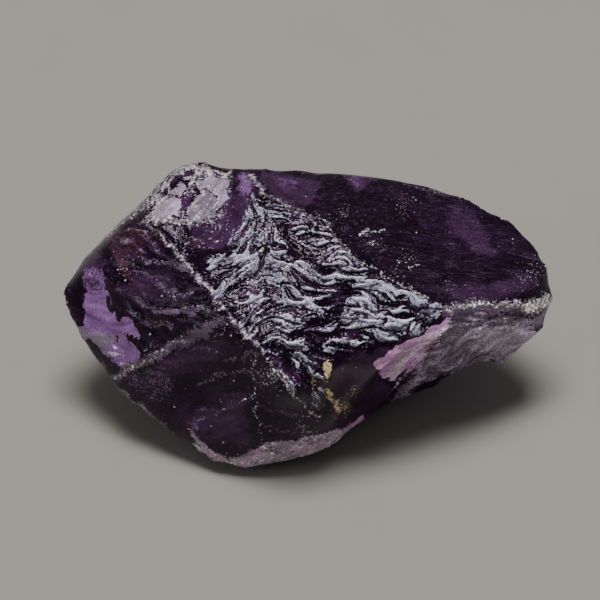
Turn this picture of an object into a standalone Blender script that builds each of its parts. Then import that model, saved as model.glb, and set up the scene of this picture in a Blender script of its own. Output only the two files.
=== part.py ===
"""Rough amethyst: one broken piece of dark violet quartz, lying on its flat break.

The stone is a block of corners (a convex hull), bitten by shell-shaped breaks,
then roughened by ledges, flutes and chipped ridges, and cut flat underneath.
It is shaped in millimetres and brought to metres at the end.
+X runs along the stone, -Y is the front, +Z is up, and it stands on z = 0.
"""

import math

import bmesh
import bpy
import numpy as np
from mathutils import Matrix, Vector, noise

NAME = "amethyst_rough"

# Driving sizes, in millimetres.
LENGTH = 45.0
BASE_LEVEL = -10.5
SEEN_FROM_ABOVE = 40.0
GRAIN = 0.25
NARROWEST = 0.02
TRIANGLES = 9000
METRES = 0.001

# Front corners, as seen from the front and 40 degrees above: across, up the view, towards the eye.
# The rim runs clockwise from the left tip.
RIM = {
    "left_tip": (-22.7, 2.3, -0.8),
    "left_shoulder": (-21.1, 5.0, -1.4),
    "upper_left": (-12.0, 14.1, -1.6),
    "crown_left": (-10.0, 14.4, -0.4),
    "crown_middle": (-4.5, 13.6, -0.2),
    "crown_right": (1.5, 13.4, -1.0),
    "top_middle": (8.3, 12.7, -0.5),
    "top_right": (14.5, 11.3, -0.5),
    "right_shoulder": (18.6, 9.0, -0.5),
    "right_upper": (20.6, 7.0, -0.5),
    "right_high": (22.2, 4.9, 0.0),
    "right_tip": (22.8, 1.4, 0.0),
    "right_low": (21.8, -1.7, 0.0),
    "right_foot": (18.3, -4.3, 0.0),
    "foot_right": (0.6, -13.0, 1.5),
    "foot_front": (-5.7, -14.3, 2.0),
    "foot_left": (-8.4, -13.7, 2.0),
    "left_foot": (-12.6, -10.9, 1.5),
    "left_low": (-17.0, -7.5, 1.0),
    "left_under": (-20.5, -2.9, 0.0),
    "left_end": (-22.2, 0.1, 0.0),
}
RIDGES = {
    # the ridge beside the thin smooth face at the upper left
    "side_1": (-21.8, 2.5, 0.6),
    "side_2": (-18.6, 6.5, 1.4),
    "side_3": (-15.0, 9.5, 2.0),
    "side_4": (-11.7, 12.8, 1.2),
    # the long ridge that falls from the upper left to the foot
    "long_1": (-14.4, 8.5, 4.4),
    "long_2": (-12.2, 6.3, 6.0),
    "long_3": (-9.2, 2.7, 8.8),
    "long_4": (-6.0, -0.9, 10.7),
    "long_5": (-4.0, -3.1, 11.6),
    "long_6": (-1.5, -6.5, 11.0),
    "long_7": (1.0, -9.3, 7.6),
    # the edge between the top face and the splintered face
    "top_1": (-6.7, 9.3, 4.8),
    "top_2": (-2.0, 10.5, 3.4),
    "top_3": (1.0, 9.2, 4.5),
    "top_4": (3.0, 7.5, 6.0),
    "top_5": (6.1, 4.5, 8.3),
    "top_6": (9.3, 2.0, 8.9),
    "top_7": (12.4, 0.6, 8.5),
    # the crushed ridge over the right end
    "end_1": (16.6, 1.1, 6.0),
    "end_2": (19.9, 1.4, 3.5),
    # the pale window and the ridge on its right
    "window_1": (6.1, -4.0, 9.6),
    "window_2": (7.5, -7.2, 5.8),
    "window_3": (10.0, -4.1, 8.0),
    # the dark face at the lower left and the violet face at the left end
    "dark_1": (-13.3, -3.4, 5.9),
    "dark_2": (-10.4, -1.0, 8.9),
    "violet_1": (-18.6, 4.8, 3.2),
    "violet_2": (-16.8, 0.9, 4.8),
    "violet_3": (-14.6, -2.5, 5.6),
}

# Hidden corners, in the stone's own directions: along, back, up.
BACK = {
    "back_left": (-19.0, 7.5, 1.5),
    "back_high_left": (-12.0, 12.0, 5.5),
    "back_middle": (-3.0, 13.6, 1.5),
    "back_high_right": (8.5, 12.4, 3.5),
    "back_right": (17.6, 8.8, 0.5),
    "back_end": (20.3, 4.2, -2.2),
    "low_left": (-15.0, 8.0, -5.0),
    "low_middle": (-4.0, 11.0, -8.0),
    "low_right": (9.0, 9.6, -8.2),
    "low_end": (15.6, 4.4, -6.4),
    "left_keel": (-17.6, 2.5, -5.2),
}
BASE = {
    "base_1": (-10.0, -4.0, -10.9),
    "base_2": (-12.0, 3.0, -10.9),
    "base_3": (-7.0, 8.8, -10.9),
    "base_4": (4.5, 8.6, -10.9),
    "base_5": (9.0, 4.0, -10.9),
    "base_6": (0.0, -6.0, -10.9),
}

# Each break is a little uneven: swells across its width, their height as a share of its depth, and
# the greatest depth that still adds to them.
SWELLS_ACROSS = 3.2
UNEVEN = 0.7
UNEVEN_TO = 1.2

# Shell-shaped breaks on the front: across, up, towards the eye; width; depth.
FRONT_BREAKS = {
    "reddish_bowl": ((-16.2, 5.6, 4.2), 8.5, 0.50),
    "dark_bowl": ((-9.0, -5.7, 8.5), 11.5, 0.70),
    "foot_bowl": ((-1.8, -9.8, 8.0), 7.0, 0.50),
    "window_pit": ((4.6, -7.4, 8.2), 8.5, 1.25),
    "speckled_bowl": ((-9.4, 8.3, 5.0), 7.5, 0.55),
    "violet_bowl": ((-19.4, 0.8, 2.6), 8.0, 0.60),
    "grey_flat": ((-9.2, 11.0, 2.6), 5.2, 0.22),
    "splinter_bowl_1": ((-1.6, 5.0, 7.4), 11.0, 0.60),
    "splinter_bowl_2": ((4.4, 1.2, 9.4), 9.5, 0.55),
    "splinter_bowl_3": ((-0.2, -3.4, 10.9), 7.5, 0.50),
    "top_hollow": ((11.2, 7.2, 4.6), 21.0, 0.60),
    "crown_notch": ((-6.9, 14.0, 0.0), 5.6, 0.85),
    "crown_dip": ((-1.4, 13.5, 0.0), 6.0, 0.60),
}
# The long bite under the right end is struck from below, not square to the face.
END_BITE = ((10.8, -6.6, 3.6), (0.38, -0.86, 0.34), 17.5, 3.1)

# Shell-shaped breaks on the back and underneath: along, back, up; width; depth.
BACK_BREAKS = {
    "back_shell_left": ((-10.5, 12.5, -2.0), 19.0, 2.10),
    "back_shell_right": ((10.5, 12.0, -3.5), 17.0, 1.60),
    "back_shell_top": ((3.0, 13.5, 5.5), 14.0, 0.80),
    "end_shell": ((19.5, 6.0, -4.0), 13.0, 1.10),
    "under_shell_right": ((14.5, 1.0, -7.5), 14.0, 1.30),
    "under_shell_left": ((-16.0, 1.0, -8.0), 13.0, 1.20),
    "left_back_shell": ((-17.5, 9.0, 3.0), 11.0, 0.90),
}

# The splintered face, clockwise from its upper left: across and up the view.
SPLINTERED = (
    (-10.6, 8.2), (-4.6, 12.6), (-1.6, 11.4), (1.0, 9.2), (3.0, 7.5), (6.1, 4.5),
    (9.3, 2.0), (12.4, 0.6), (9.6, -2.2), (6.2, -4.0), (2.6, -5.6), (1.4, -8.6),
    (-0.6, -7.6), (-4.0, -3.1), (-9.2, 2.7), (-12.2, 6.3),
)
# Strands of the splintered face: across, up, and how they lie, in degrees from level.
STRANDS = (
    (-7.8, 4.9, 5.0), (-6.2, 2.8, 35.0), (-3.6, 8.3, 65.0), (-0.6, 4.1, -42.0), (3.5, 6.9, 5.0),
    (6.2, 2.3, 10.0), (9.9, -1.2, 20.0), (-3.9, 0.6, 20.0), (2.1, -1.8, -5.0), (-0.6, -4.3, -42.0),
    (0.3, -7.3, -50.0),
)
# The fluted face under the right end, and the bowls at the left.
FLUTED = ((12.4, 0.4), (22.3, 1.2), (21.4, -1.6), (18.2, -4.4), (8.4, -7.6), (10.0, -4.1))
BOWLS = (
    (-18.8, 6.6), (-14.6, 8.4), (-12.2, 6.3), (-9.2, 2.7), (-6.0, -0.9), (-10.4, -1.0),
    (-14.6, -2.5), (-16.8, 0.9),
)
# The ribs between the bowls: where they would meet, and their bearings from there in degrees.
RIB_CENTRE = (-2.5, 2.3)
RIBS = (148, 167, 180, 191, 207)

# Relief, in millimetres: how far each kind of roughness stands out or in, and over what distance.
UNDULATION, UNDULATION_OVER = 0.14, 4.5
LEDGE, LEDGE_WIDTH, LEDGE_LENGTH = 0.30, 0.95, 3.4
FLUTE, FLUTE_WIDTH, FLUTE_LENGTH, FLUTE_RUN = 0.45, 1.3, 7.0, 38.0
BACK_RIPPLE, BACK_RIPPLE_SIZE = 0.40, (3.2, 1.1, 2.4)
SCALLOP = 0.17
CHIP, CHIP_FINE, CHIP_COARSE = 0.50, 0.9, 2.3
CREST_LOSS = 0.06


def eye_axes():
    """The three directions of the front view: across, up the view, towards the eye."""
    tilt = math.radians(SEEN_FROM_ABOVE)
    across = Vector((1, 0, 0))
    up = Vector((0, math.sin(tilt), math.cos(tilt)))
    return across, up, across.cross(up)


def from_view(place):
    across, up, towards = eye_axes()
    return across * place[0] + up * place[1] + towards * place[2]


def collection(name):
    made = bpy.data.collections.new(name)
    bpy.context.scene.collection.children.link(made)
    return made


def add_object(name, bm, home):
    mesh = bpy.data.meshes.new(name)
    bm.to_mesh(mesh)
    bm.free()
    made = bpy.data.objects.new(name, mesh)
    home.objects.link(made)
    return made


def block(home):
    """The flat-faced block: every corner, wrapped in its convex hull."""
    bm = bmesh.new()
    for group in (RIM, RIDGES):
        for place in group.values():
            bm.verts.new(from_view(place))
    for group in (BACK, BASE):
        for place in group.values():
            bm.verts.new(place)
    hull = bmesh.ops.convex_hull(bm, input=bm.verts[:])
    spare = {g for g in hull["geom_interior"] + hull["geom_unused"] if isinstance(g, bmesh.types.BMVert)}
    bmesh.ops.delete(bm, geom=list(spare), context="VERTS")
    bmesh.ops.recalc_face_normals(bm, faces=bm.faces[:])
    return add_object(NAME, bm, home)


def bite(stone, name, place, width, depth, home, struck=None):
    """A round, uneven cutter that leaves a shell-shaped break of this width and depth."""
    radius = (width**2 / 4 + depth**2) / (2 * depth)
    _, spot, normal, _ = stone.closest_point_on_mesh(place)
    outward = struck.normalized() if struck else normal
    bm = bmesh.new()
    centre = Matrix.Translation(spot + outward * (radius - depth))
    bmesh.ops.create_icosphere(bm, subdivisions=5, radius=radius, matrix=centre)
    for vert in bm.verts:
        swell = noise.noise(vert.co * SWELLS_ACROSS / width)
        vert.co += outward * UNEVEN * min(depth, UNEVEN_TO) * swell
    cutter = add_object(name, bm, home)
    cutter.hide_render = True
    cutter.display_type = "WIRE"
    cut = stone.modifiers.new(name, "BOOLEAN")
    cut.operation = "DIFFERENCE"
    cut.object = cutter


def add_bites(stone, home):
    for name, (place, width, depth) in FRONT_BREAKS.items():
        bite(stone, name, from_view(place), width, depth, home)
    place, struck, width, depth = END_BITE
    bite(stone, "end_bite", from_view(place), width, depth, home, from_view(struck))
    for name, (place, width, depth) in BACK_BREAKS.items():
        bite(stone, name, Vector(place), width, depth, home)


def apply_modifiers(stone):
    graph = bpy.context.evaluated_depsgraph_get()
    mesh = bpy.data.meshes.new_from_object(stone.evaluated_get(graph))
    stone.modifiers.clear()
    old = stone.data
    stone.data = mesh
    bpy.data.meshes.remove(old)


def regrain(stone):
    """Turns the bitten block into an even mesh that can be roughened."""
    remesh = stone.modifiers.new("grain", "REMESH")
    remesh.mode = "VOXEL"
    remesh.voxel_size = GRAIN
    apply_modifiers(stone)


def inside(outline, x, y, soft):
    """1 well inside the outline, 0 well outside, blending over the soft distance."""
    nearest = 1e9
    crossings = False
    for (x0, y0), (x1, y1) in zip(outline, outline[1:] + outline[:1]):
        dx, dy = x1 - x0, y1 - y0
        t = min(1, max(0, ((x - x0) * dx + (y - y0) * dy) / (dx * dx + dy * dy)))
        nearest = min(nearest, math.hypot(x - x0 - t * dx, y - y0 - t * dy))
        if (y0 > y) != (y1 > y) and x < x0 + (y - y0) * dx / dy:
            crossings = not crossings
    signed = nearest if crossings else -nearest
    t = min(1, max(0, 0.5 + signed / (2 * soft)))
    return t * t * (3 - 2 * t)


def strand_height(x, y):
    """Ledges that follow the strands: long ridged noise, turned patch by patch."""
    total = 0
    weights = 0
    for cx, cy, angle in STRANDS:
        near = math.exp(-((x - cx) ** 2 + (y - cy) ** 2) / 5.0)
        turn = math.radians(angle)
        along = (x - cx) * math.cos(turn) + (y - cy) * math.sin(turn)
        athwart = (y - cy) * math.cos(turn) - (x - cx) * math.sin(turn)
        sway = 0.45 * noise.noise(Vector((along / 2.2, athwart / 2.2, cx)))
        spot = Vector((along / LEDGE_LENGTH, (athwart + sway) / LEDGE_WIDTH, cy))
        total += near * (0.65 - 2.4 * abs(noise.noise(spot)))
        weights += near
    return total / max(weights, 1e-6)


def flutes(x, y):
    """Flutes that run down and to the left under the right end."""
    run = math.radians(FLUTE_RUN)
    athwart = y * math.cos(run) - x * math.sin(run)
    bend = 0.5 * noise.noise(Vector((x / 5.0, y / 5.0, 3.0)))
    return noise.noise(Vector((x / FLUTE_LENGTH, (athwart + bend) / FLUTE_WIDTH, 7.0)))


def scallops(x, y):
    """Troughs that fan out to the left between sharp ribs, deeper where they are wider."""
    bearing = math.degrees(math.atan2(y - RIB_CENTRE[1], x - RIB_CENTRE[0])) % 360
    reach = math.hypot(x - RIB_CENTRE[0], y - RIB_CENTRE[1])
    bearing += 5.0 * noise.noise(Vector((x / 3.5, y / 3.5, 11.0)))
    for low, high in zip(RIBS, RIBS[1:]):
        if low <= bearing < high:
            t = (bearing - low) / (high - low)
            width = reach * math.radians(high - low)
            return -width * 4 * t * (1 - t)
    return 0.0


def back_ripple(place):
    """Ripples in patches on the back and underneath."""
    spot = Vector([step / size for step, size in zip(place, BACK_RIPPLE_SIZE)])
    patch = 0.2 + 2.5 * noise.noise(place / 9.0 + Vector((4, 0, 0)))
    return min(1, max(0, patch)) * noise.noise(spot)


def neighbour_mean(values, pairs, counts):
    summed = np.zeros_like(values)
    np.add.at(summed, pairs[:, 0], values[pairs[:, 1]])
    np.add.at(summed, pairs[:, 1], values[pairs[:, 0]])
    return summed / counts


def surface(mesh):
    """Each point's place, its smoothed outward direction and how near a ridge it is."""
    count = len(mesh.vertices)
    places = np.empty(count * 3)
    mesh.vertices.foreach_get("co", places)
    facing = np.empty(count * 3)
    mesh.vertex_normals.foreach_get("vector", facing)
    pairs = np.empty(len(mesh.edges) * 2, dtype=np.int64)
    mesh.edges.foreach_get("vertices", pairs)
    places, facing, pairs = places.reshape(-1, 3), facing.reshape(-1, 3), pairs.reshape(-1, 2)
    counts = np.bincount(pairs.ravel(), minlength=count)[:, None]
    smooth = facing
    for _ in range(3):
        smooth = 0.5 * smooth + 0.5 * neighbour_mean(smooth, pairs, counts)
    length = np.linalg.norm(smooth, axis=1, keepdims=True)
    ridge = neighbour_mean(np.clip((1 - length) / 0.045, 0, 1), pairs, counts)
    return places, smooth / length, ridge[:, 0]


def relief(place, facing, ridge):
    """How far, in millimetres, the broken surface stands out or in at a point."""
    across, up, towards = eye_axes()
    x, y = place.dot(across), place.dot(up)
    front = min(1, max(0, facing.dot(towards) * 4))
    height = UNDULATION * noise.noise(place / UNDULATION_OVER)
    if front > 0:
        height += front * inside(SPLINTERED, x, y, 0.5) * LEDGE * strand_height(x, y)
        height += front * inside(FLUTED, x, y, 0.5) * FLUTE * flutes(x, y)
        height += front * inside(BOWLS, x, y, 1.0) * SCALLOP * scallops(x, y)
    else:
        height += BACK_RIPPLE * back_ripple(place)
    chips = noise.noise(place / CHIP_FINE) + 0.55 * noise.noise(place / CHIP_COARSE)
    return height - ridge * (CREST_LOSS + CHIP * max(0, chips))


def roughen(stone):
    mesh = stone.data
    places, facing, ridge = surface(mesh)
    for i, (place, outward, sharp) in enumerate(zip(places, facing, ridge)):
        places[i] = place + outward * relief(Vector(place), Vector(outward), sharp)
    mesh.vertices.foreach_set("co", places.ravel())
    mesh.update()


def thin_out(stone):
    """Keeps the points where the surface bends and drops them where it is flat."""
    stone.data.calc_loop_triangles()
    collapse = stone.modifiers.new("thin_out", "DECIMATE")
    collapse.ratio = TRIANGLES / len(stone.data.loop_triangles)
    collapse.use_collapse_triangulate = True
    apply_modifiers(stone)


def cut_base(stone):
    """Cuts the underside flat, so that the stone rests on one real face."""
    bm = bmesh.new()
    bm.from_mesh(stone.data)
    everything = bm.verts[:] + bm.edges[:] + bm.faces[:]
    cut = bmesh.ops.bisect_plane(
        bm,
        geom=everything,
        dist=NARROWEST,
        plane_co=(0, 0, BASE_LEVEL),
        plane_no=(0, 0, -1),
        clear_outer=True,
    )
    rim = [g for g in cut["geom_cut"] if isinstance(g, bmesh.types.BMEdge)]
    bmesh.ops.edgenet_fill(bm, edges=rim)
    bmesh.ops.dissolve_degenerate(bm, dist=NARROWEST, edges=bm.edges[:])
    bmesh.ops.triangulate(bm, faces=[f for f in bm.faces if len(f.verts) > 3])
    bmesh.ops.recalc_face_normals(bm, faces=bm.faces[:])
    bm.to_mesh(stone.data)
    bm.free()


def settle(stone, cutters):
    """Brings the stone to its length in metres, on z = 0 with the middle of its box over the origin."""
    corners = np.array([v.co for v in stone.data.vertices])
    low, high = corners.min(axis=0), corners.max(axis=0)
    middle = (low + high) / 2
    shift = Matrix.Translation((-middle[0], -middle[1], -low[2]))
    place = Matrix.Scale(METRES * LENGTH / (high[0] - low[0]), 4) @ shift
    for made in [stone, *cutters.objects]:
        made.data.transform(place)
        made.data.update()


def amethyst():
    """Dark violet quartz, glassy on its breaks."""
    material = bpy.data.materials.new("amethyst")
    material.use_nodes = True
    shader = material.node_tree.nodes["Principled BSDF"]
    shader.inputs["Base Color"].default_value = (0.060, 0.022, 0.095, 1)
    shader.inputs["Metallic"].default_value = 0
    shader.inputs["Roughness"].default_value = 0.12
    shader.inputs["IOR"].default_value = 1.544
    return material


def main():
    for old in list(bpy.data.objects):
        bpy.data.objects.remove(old)
    home = collection("rough_amethyst")
    cutters = collection("cutters")
    cutters.hide_render = True
    stone = block(home)
    add_bites(stone, cutters)
    regrain(stone)
    roughen(stone)
    thin_out(stone)
    cut_base(stone)
    settle(stone, cutters)
    stone.data.materials.clear()
    stone.data.materials.append(amethyst())


main()
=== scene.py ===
"""The looks of a rough amethyst: one broken piece of dark violet quartz on a pale floor.

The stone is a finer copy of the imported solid. Its smooth breaks are evened out, its
splintered breaks are combed into ribbons, and its ridges are crushed to white grain.
Sizes are in millimetres while it is shaped, and in metres when it is done.
"""

import math

import bmesh
import bpy
import numpy as np
from bpy.props import FloatProperty, FloatVectorProperty, IntProperty, PointerProperty
from bpy.types import Operator, Panel, PropertyGroup
from mathutils import Matrix, Vector, noise


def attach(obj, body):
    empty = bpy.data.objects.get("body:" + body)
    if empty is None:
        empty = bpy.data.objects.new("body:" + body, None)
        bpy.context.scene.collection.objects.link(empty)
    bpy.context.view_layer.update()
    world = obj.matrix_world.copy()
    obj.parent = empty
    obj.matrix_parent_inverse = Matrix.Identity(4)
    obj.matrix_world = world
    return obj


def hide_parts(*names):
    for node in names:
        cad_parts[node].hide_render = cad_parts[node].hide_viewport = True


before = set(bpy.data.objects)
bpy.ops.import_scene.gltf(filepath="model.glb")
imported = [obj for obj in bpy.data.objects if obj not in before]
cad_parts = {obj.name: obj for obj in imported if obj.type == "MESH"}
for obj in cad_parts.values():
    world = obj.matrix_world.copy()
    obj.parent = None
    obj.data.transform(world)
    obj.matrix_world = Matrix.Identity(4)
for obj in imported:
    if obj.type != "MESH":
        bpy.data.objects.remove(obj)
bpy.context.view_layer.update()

bl_info = {
    "name": "Rough Amethyst",
    "version": (1, 0, 0),
    "blender": (4, 5, 0),
    "location": "View3D > Sidebar > Amethyst",
    "description": "Dresses a packed solid as a rough amethyst and sets it on a pale floor",
    "category": "Object",
}

NODE = "amethyst_rough"
# The direction of the hackle lines on the dark top face.
STRIATION_RUN = (0.885, 0.171, -0.432)
MM = 0.001
FLOOR_REACH = 1.5
FLOOR_GAP = 0.00002
# Where the softboxes hang, and what they are aimed at, in metres.
SOFTBOX_PLACE = (0.0, -0.02, 0.70)
FILL_PLACE = (-0.75, -0.35, 0.45)
LIT_PLACE = (0, 0, 0.01)

# Quartz's refraction. The sheen is set below quartz's own, so that the pale floor doesn't grey the stone.
QUARTZ_IOR = 1.544
SHEEN = 0.25
SHEEN_TINT = (0.42, 0.36, 0.46, 1.0)
# The most that the relief rises, and the sizes of chips, grain and hackle lines, in millimetres.
RELIEF_LIMIT = 0.12
CHIP_SIZE = 0.21
GRAIN_SIZE = 0.18
HACKLE_WIDTH = 0.17
DUST_SPACING = 1.1

# The front view: from this far above level, and from this far away.
SEEN_FROM_ABOVE = 40.0
EYE_DISTANCE = 450.0
VIEW_WIDTH = 54.85
# The point of the stone that outlines are measured from, and the point in the picture's middle.
MIDDLE = np.array((-0.11, -0.45, 10.46))
PICTURE_MIDDLE = (-0.64, 1.38)

# How the breaks run on the front: across, up, degrees from level, and how far that holds.
FRONT_STRANDS = (
    # the splintered face, from its top to its foot
    (-2.4, 10.1, -15, 1.2), (-4.2, 8.6, 78, 1.2), (-4.6, 6.2, 62, 1.2), (-7.4, 5.0, 8, 1.1),
    (0.6, 7.4, 2, 1.4), (3.5, 6.4, -16, 1.1), (-2.4, 5.6, -35, 1.0), (-0.6, 4.1, -50, 1.4),
    (-2.2, 2.9, -38, 1.2), (3.0, 3.6, 6, 1.2), (-7.2, 2.0, 30, 1.4), (-5.0, 1.6, 28, 1.4),
    (-4.0, 0.0, 22, 1.4), (0.5, 1.2, 8, 1.6), (4.5, 1.8, 9, 1.6), (8.0, 1.8, -12, 1.2),
    (10.6, 0.8, -28, 1.0), (9.6, -0.9, 14, 1.2), (6.4, -0.6, 2, 1.4), (6.0, -2.2, -14, 1.0),
    (2.0, -0.9, -3, 1.4), (-2.5, -1.4, 4, 1.4), (0.8, -2.5, -20, 1.2), (-2.6, -4.0, -48, 1.2),
    (0.3, -4.6, -38, 1.2), (-0.6, -7.2, -52, 1.4), (1.0, -9.0, -55, 1.2),
    # the dark top face at the right
    (2.5, 11.0, -6, 2.5), (8.5, 9.0, -15, 2.5), (13.0, 7.8, -19, 2.5), (17.5, 5.2, -14, 2.5),
    (9.5, 5.6, -10, 2.5), (14.5, 3.0, 4, 2.0), (19.5, 2.6, -40, 1.2),
    # the fluted face under the right end
    (20.6, -0.8, 24, 2.0), (17.0, -2.0, 16, 2.0), (13.0, -3.2, 30, 2.0), (10.2, -5.4, 40, 1.8),
    (8.0, -7.6, 43, 1.8),
    # the bowls and the dark face at the left
    (-12.8, 5.2, -14, 1.8), (-11.8, 2.4, -4, 1.6), (-10.6, 0.4, 3, 1.6), (-14.2, -1.6, -48, 1.2),
    (-12.4, -1.8, -40, 1.0), (-9.4, -2.6, -34, 1.2), (-16.4, 6.4, -52, 1.6),
    (-9.0, -7.5, 22, 3.0), (-14.0, -5.6, 14, 2.0), (-18.8, 1.6, -24, 2.0), (-16.6, -3.4, -18, 1.6),
    # the crushed top at the left, and the foot
    (-9.2, 10.8, 48, 1.8), (-12.6, 10.2, 40, 1.6), (-6.2, 10.0, -60, 1.4), (-1.6, 11.8, -14, 1.4),
    (-9.2, -12.4, -38, 1.2), (-5.6, -13.4, -8, 1.6), (-0.5, -12.2, 14, 1.8), (4.2, -10.2, 38, 1.8),
)
# The same behind, as seen from the back and 20 degrees above.
BACK_FROM_ABOVE = 20.0
BACK_STRANDS = (
    (-15.0, 2.0, 30, 5.0), (-8.0, 6.0, 12, 4.0), (0.0, 3.0, -20, 4.0), (7.0, 6.0, -42, 4.0),
    (14.0, 2.0, -15, 5.0), (-10.0, -5.0, 48, 4.0), (0.0, -6.0, 5, 4.0), (10.0, -5.0, -38, 4.0),
)

# Outlines on the front: across and up the picture from the stone's middle.
SPLINTERED = (
    (-5.0, 11.9), (-3.4, 11.0), (-0.6, 10.1), (0.7, 9.2), (2.1, 7.8), (3.5, 6.0), (5.3, 4.6),
    (8.5, 2.8), (12.7, 0.6), (11.3, -0.9), (9.9, -1.8), (7.2, -2.8), (3.5, -3.4), (1.4, -4.3),
    (1.9, -6.0), (1.4, -7.8), (1.0, -9.4), (-1.6, -6.7), (-4.1, -3.2), (-6.2, -0.9),
    (-9.1, 1.4), (-9.2, 4.9), (-7.5, 6.0), (-5.7, 9.2),
)
TOP_FACE = (
    (0.3, 13.4), (14.0, 11.4), (22.4, 4.6), (22.5, 1.8), (12.7, 0.8), (6.2, 4.6), (0.9, 9.4),
    (-1.4, 13.3),
)
FLUTED = (
    (12.9, 0.0), (14.9, 0.5), (17.6, 0.3), (20.4, 0.0), (22.4, 0.5), (21.8, -0.9), (20.4, -2.7),
    (18.1, -4.3), (14.9, -5.2), (12.2, -5.6), (9.9, -7.0), (8.0, -8.4), (7.1, -8.3),
    (8.5, -6.4), (10.3, -4.1), (11.7, -2.3),
)
BOWLS = (
    (-18.8, 6.6), (-14.6, 8.4), (-12.2, 6.3), (-9.2, 2.7), (-6.2, -0.9), (-8.3, -0.5),
    (-11.4, -2.4), (-15.3, -4.6), (-15.3, -2.3), (-17.2, 0.2), (-18.4, 4.1),
)
DARK_FACE = (
    (-17.5, -5.5), (-13.4, -3.6), (-9.4, -1.4), (-6.2, -0.9), (-4.1, -3.4), (-4.7, -7.4),
    (-4.1, -11.4), (-7.0, -12.8), (-10.6, -10.6), (-15.0, -8.4),
)
PIT = (
    (3.5, -3.6), (7.2, -3.0), (9.9, -2.0), (6.5, -4.1), (6.3, -5.5), (7.4, -6.4), (7.7, -7.4),
    (6.2, -9.2), (3.9, -10.5), (2.1, -10.1), (1.7, -7.3), (2.6, -5.0),
)
CRUSHED_TOP = (
    (-14.4, 11.4), (-13.0, 13.1), (-11.2, 14.2), (-9.3, 13.9), (-6.6, 12.9), (-6.9, 11.0),
    (-7.5, 9.1), (-9.3, 8.1), (-11.6, 8.3), (-13.4, 8.3), (-14.9, 8.9), (-14.9, 10.5),
)
FOOT_RIM = (
    (-10.9, -10.4), (-10.0, -10.8), (-9.1, -12.1), (-7.6, -12.7), (-6.1, -12.8), (-4.1, -11.7),
    (-1.6, -11.4), (1.2, -10.7), (3.5, -10.1), (5.3, -8.9), (5.6, -10.2), (3.0, -12.0),
    (0.3, -13.4), (-3.4, -14.2), (-5.7, -14.6), (-8.2, -13.9), (-9.8, -12.6),
)

# Finishes of the broken quartz: colour, how clear, how rough, and how much the grain breaks its edge.
# Some finishes paint light: silver_sheen is a painted reflection, pearl paints highlights and light
# through thin stone, and smoke and lilac paint sheen and highlights in places.
FINISHES = {
    "plum": ("#74487a", 0.70, 0.12, 0.35),
    "reddish": ("#6e4250", 0.62, 0.18, 0.9),
    "smoke": ("#a796ac", 0.34, 0.22, 0.6),
    "violet": ("#a878ba", 0.25, 0.12, 0.35),
    "petal": ("#f6b6f2", 0.08, 0.16, 0.4),
    "lilac": ("#c6b4cc", 0.22, 0.25, 0.7),
    "pearl": ("#fff6ff", 0.06, 0.14, 0.8),
    "bruise": ("#857088", 0.45, 0.35, 1.2),
    "silver_sheen": ("#b4b5cb", 0.18, 0.16, 1.0),
    "frost": ("#fbf5f4", 0.04, 0.18, 1.7),
    "rust": ("#e4cf9c", 0.05, 0.28, 1.3),
}
# Finishes that break up into wisps along the ribbons.
WISPY = ("silver_sheen", "pearl", "lilac")
# The clear body: its tint, and how clear it is where no finish lies on it.
BODY = ("#633668", 0.92)

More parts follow.
